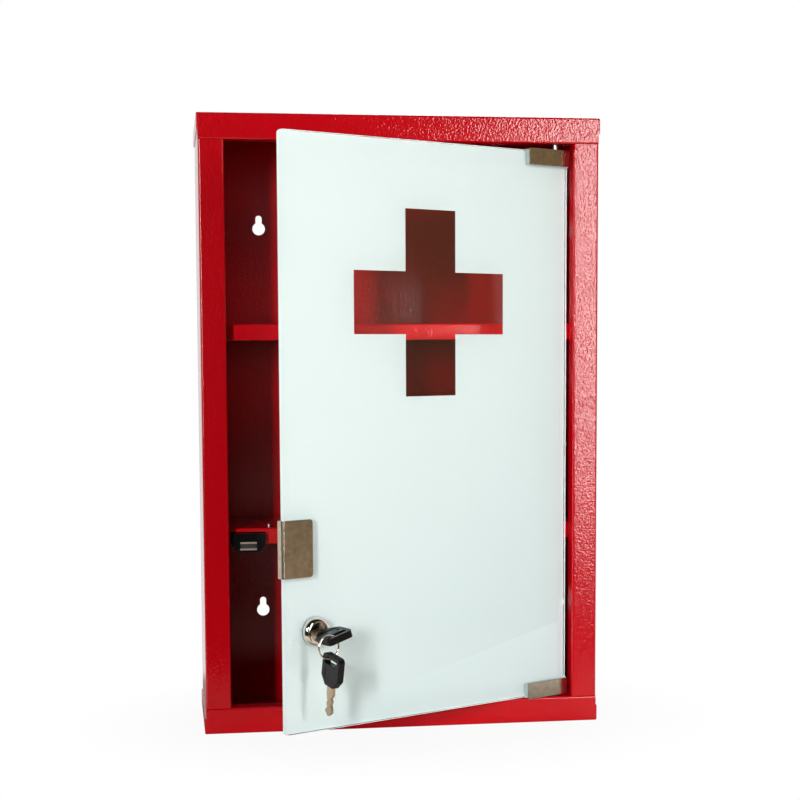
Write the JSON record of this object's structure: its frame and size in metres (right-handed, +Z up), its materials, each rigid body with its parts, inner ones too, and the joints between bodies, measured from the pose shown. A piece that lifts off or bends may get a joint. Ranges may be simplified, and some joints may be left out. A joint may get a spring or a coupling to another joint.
{
  "type": "medicine cabinet",
  "caption": "Wall-hung medicine cabinet: folded red steel box with shelves, a printed glass door on pivot clips, a magnetic catch and a cam lock with keys.",
  "frame": {"origin": "middle of the four keyholes, on the back face", "axes": "+X right as seen from the front, +Y back to the wall, +Z up"},
  "size_m": [0.302, 0.2532, 0.46],
  "materials": {
    "red_coat": "fine textured powder coat",
    "black_plastic": "moulded",
    "magnet": "sintered",
    "pole_steel": "plated",
    "zinc_steel": "zinc plated",
    "nylon": "moulded",
    "glass": "toughened, arrised edges",
    "white_print": "fired enamel",
    "clip_steel": "satin",
    "clear_liner": "clear soft strip",
    "chrome": "polished",
    "gasket": "moulded",
    "brass": "milled"
  },
  "bodies": {
    "cabinet": {"top_cap": "red_coat", "bottom_cap": "red_coat", "left_side": "red_coat", "right_side": "red_coat", "back_panel": "red_coat", "upper_shelf": "red_coat", "lower_shelf": "red_coat", "catch_housing": "black_plastic", "catch_magnet": "magnet", "catch_pole_plates": "pole_steel", "catch_screws": "zinc_steel", "upper_bush": "nylon", "lower_bush": "nylon"},
    "door": {"door_glass": "glass", "door_print": "white_print", "upper_hinge_clip": "clip_steel", "upper_hinge_liner": "clear_liner", "upper_hinge_pin": "zinc_steel", "lower_hinge_clip": "clip_steel", "lower_hinge_liner": "clear_liner", "lower_hinge_pin": "zinc_steel", "hinge_clip_screws": "zinc_steel", "pull_clip": "clip_steel", "pull_clip_liner": "clear_liner", "pull_clip_screws": "zinc_steel", "lock_housing": "chrome", "lock_gasket": "gasket", "lock_washer": "zinc_steel", "lock_nut": "zinc_steel"},
    "lock_rotor": {"lock_plug": "chrome", "lock_wafers": "brass", "lock_cam": "zinc_steel", "cam_screw": "zinc_steel"},
    "key": {"key_blade": "brass", "key_bow": "black_plastic"},
    "ring": {"key_ring": "chrome"},
    "spare_key": {"spare_key_blade": "brass", "spare_key_bow": "black_plastic"}
  },
  "joints": [
    {"name": "door_hinge", "type": "hinge", "parent": "cabinet", "child": "door", "pos_m": [0.1173, -0.107, 0], "axis": [0, 0, 1], "range_deg": [-27.3, 82.7]},
    {"name": "lock_turn", "type": "hinge", "parent": "door", "child": "lock_rotor", "pos_m": [-0.07639, -0.20922, -0.137], "axis": [0.4587, -0.8886, 0], "range_deg": [-15.5, 74.5]},
    {"name": "key_pull", "type": "slide", "parent": "lock_rotor", "child": "key", "axis": [0.4587, -0.8886, 0], "range_m": [0, 0.02]},
    {"name": "ring_swing", "type": "hinge", "parent": "key", "child": "ring", "pos_m": [-0.0706, -0.2383, -0.13927], "axis": [0.4587, -0.8886, 0], "range_deg": [-90, 35]},
    {"name": "spare_swing", "type": "hinge", "parent": "ring", "child": "spare_key", "pos_m": [-0.0696, -0.23779, -0.1512], "axis": [0.8886, 0.4587, 0], "range_deg": [-45, 20]}
  ]
}
